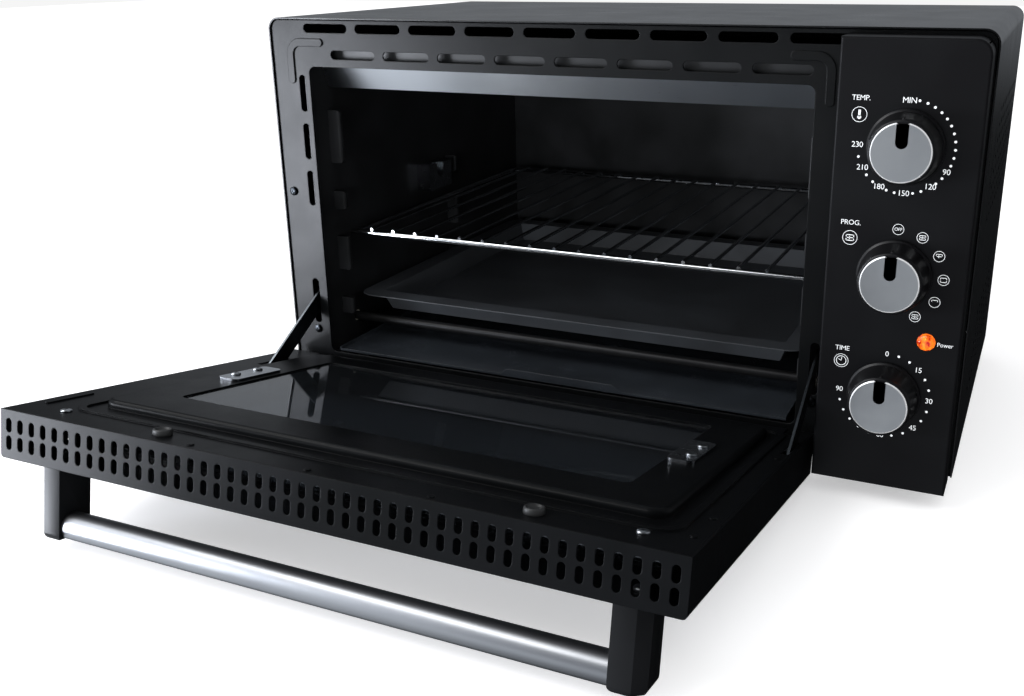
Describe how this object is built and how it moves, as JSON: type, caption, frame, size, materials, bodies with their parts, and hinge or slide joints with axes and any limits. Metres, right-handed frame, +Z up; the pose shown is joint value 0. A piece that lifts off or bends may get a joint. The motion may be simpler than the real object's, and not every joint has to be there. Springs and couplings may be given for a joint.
{
  "type": "toaster oven",
  "caption": "Black countertop mini oven with its drop-down glass door open, a wire rack, baking tray and crumb tray inside, and round knobs with an indicator lamp down the right side.",
  "frame": {"origin": "centre of the outline on the worktop, at the height of the feet's undersides", "axes": "+X to the right seen from the front, -Y out of the door side towards the user, +Z up from the worktop"},
  "size_m": [0.5, 0.6324, 0.2878],
  "materials": {
    "casing_paint": "satin black",
    "liner_enamel": "dark non-stick enamel",
    "strip_metal": "bright rolled strip",
    "plain_steel": "zinc plated",
    "heater_steel": "oxidised tube",
    "chrome_wire": "bright plated",
    "handle_steel": "satin ground tube",
    "cap_metal": "spun satin",
    "panel_plastic": "fine matt black",
    "knob_plastic": "gloss black",
    "bracket_plastic": "satin black",
    "inner_plastic": "moulded switch body",
    "ceramic": "glazed ceramic bush",
    "lamp_red": "clear red moulding",
    "foot_plastic": "moulded foot",
    "bumper_rubber": "silicone bumper",
    "door_glass": "smoked tempered",
    "enamel": "dark grey non-stick enamel"
  },
  "bodies": {
    "housing": {"outer_shell": "casing_paint", "base_plate": "casing_paint", "feet": "foot_plastic", "foot_screws": "plain_steel", "front_frame": "casing_paint", "rear_cover": "casing_paint", "mains_gland": "panel_plastic", "rear_cover_screws": "plain_steel", "frame_screws": "plain_steel", "cavity_left_wall": "liner_enamel", "cavity_right_wall": "liner_enamel", "cavity_top_panel": "liner_enamel", "cavity_floor_panel": "liner_enamel", "cavity_back_panel": "liner_enamel", "top_trim_strip": "strip_metal", "upper_heaters": "heater_steel", "lower_heaters": "heater_steel", "heater_bushes": "ceramic", "spit_support": "plain_steel", "spit_motor": "plain_steel", "control_panel": "panel_plastic", "lamp_lens": "lamp_red", "lamp_holder": "inner_plastic", "control_bracket": "plain_steel", "thermostat": "plain_steel", "program_switch": "inner_plastic", "timer_movement": "inner_plastic", "terminal_block": "inner_plastic", "hinge_ear_left": "plain_steel", "hinge_ear_right": "plain_steel", "hinge_pins": "plain_steel"},
    "door": {"door_outer_panel": "casing_paint", "door_inner_panel": "casing_paint", "door_inner_glass": "door_glass", "door_outer_glass": "door_glass", "door_end_strip": "casing_paint", "glass_clips": "plain_steel", "door_bumpers": "bumper_rubber", "door_screws": "plain_steel", "handle_bracket_left": "bracket_plastic", "handle_bracket_right": "bracket_plastic", "handle_bar": "handle_steel", "handle_screws": "plain_steel", "stay_pins": "plain_steel", "hinge_channels": "plain_steel"},
    "stay_left": {"stay_arm_left": "plain_steel"},
    "stay_right": {"stay_arm_right": "plain_steel"},
    "temperature_control": {"temperature_shaft": "plain_steel", "temperature_knob": "knob_plastic", "temperature_knob_cap": "cap_metal"},
    "program_control": {"program_shaft": "plain_steel", "program_knob": "knob_plastic", "program_knob_cap": "cap_metal"},
    "timer_control": {"timer_shaft": "plain_steel", "timer_knob": "knob_plastic", "timer_knob_cap": "cap_metal"},
    "rack": {"wire_rack": "chrome_wire"},
    "tray": {"baking_tray": "enamel"},
    "crumbs": {"crumb_tray": "enamel"},
    "spit_drive": {"spit_socket": "plain_steel"}
  },
  "joints": [
    {"name": "door_hinge", "type": "hinge", "parent": "housing", "child": "door", "pos_m": [0, -0.05707, 0.0209], "axis": [1, 0, 0], "range_deg": [-78.67, 0]},
    {"name": "stay_left_pivot", "type": "hinge", "parent": "door", "child": "stay_left", "pos_m": [-0.22825, -0.11002, 0.03151], "axis": [1, 0, 0], "range_deg": [0, 39.4]},
    {"name": "stay_right_pivot", "type": "hinge", "parent": "door", "child": "stay_right", "pos_m": [0.15975, -0.11002, 0.03151], "axis": [1, 0, 0], "range_deg": [0, 39.4]},
    {"name": "temperature_turn", "type": "hinge", "parent": "housing", "child": "temperature_control", "pos_m": [0.2072, -0.06477, 0.224], "axis": [0, 1, 0], "range_deg": [0, 270]},
    {"name": "program_turn", "type": "hinge", "parent": "housing", "child": "program_control", "pos_m": [0.2072, -0.06477, 0.149], "axis": [0, 1, 0], "range_deg": [0, 150]},
    {"name": "timer_turn", "type": "hinge", "parent": "housing", "child": "timer_control", "pos_m": [0.2072, -0.06477, 0.0735], "axis": [0, 1, 0], "range_deg": [0, 270]},
    {"name": "rack_slide", "type": "slide", "parent": "housing", "child": "rack", "axis": [0, -1, 0], "range_m": [0, 0.2]},
    {"name": "tray_slide", "type": "slide", "parent": "housing", "child": "tray", "axis": [0, -1, 0], "range_m": [0, 0.14]},
    {"name": "crumb_slide", "type": "slide", "parent": "housing", "child": "crumbs", "axis": [0, -0.9805, 0.1965], "range_m": [0, 0.024]},
    {"name": "spit_turn", "type": "hinge", "parent": "housing", "child": "spit_drive", "pos_m": [0.15375, 0.12563, 0.149], "axis": [1, 0, 0], "continuous": true}
  ],
  "couplings": [
    {"joint": "stay_left_pivot", "follows": "door_hinge", "ratio": -0.5},
    {"joint": "stay_right_pivot", "follows": "door_hinge", "ratio": -0.5}
  ]
}
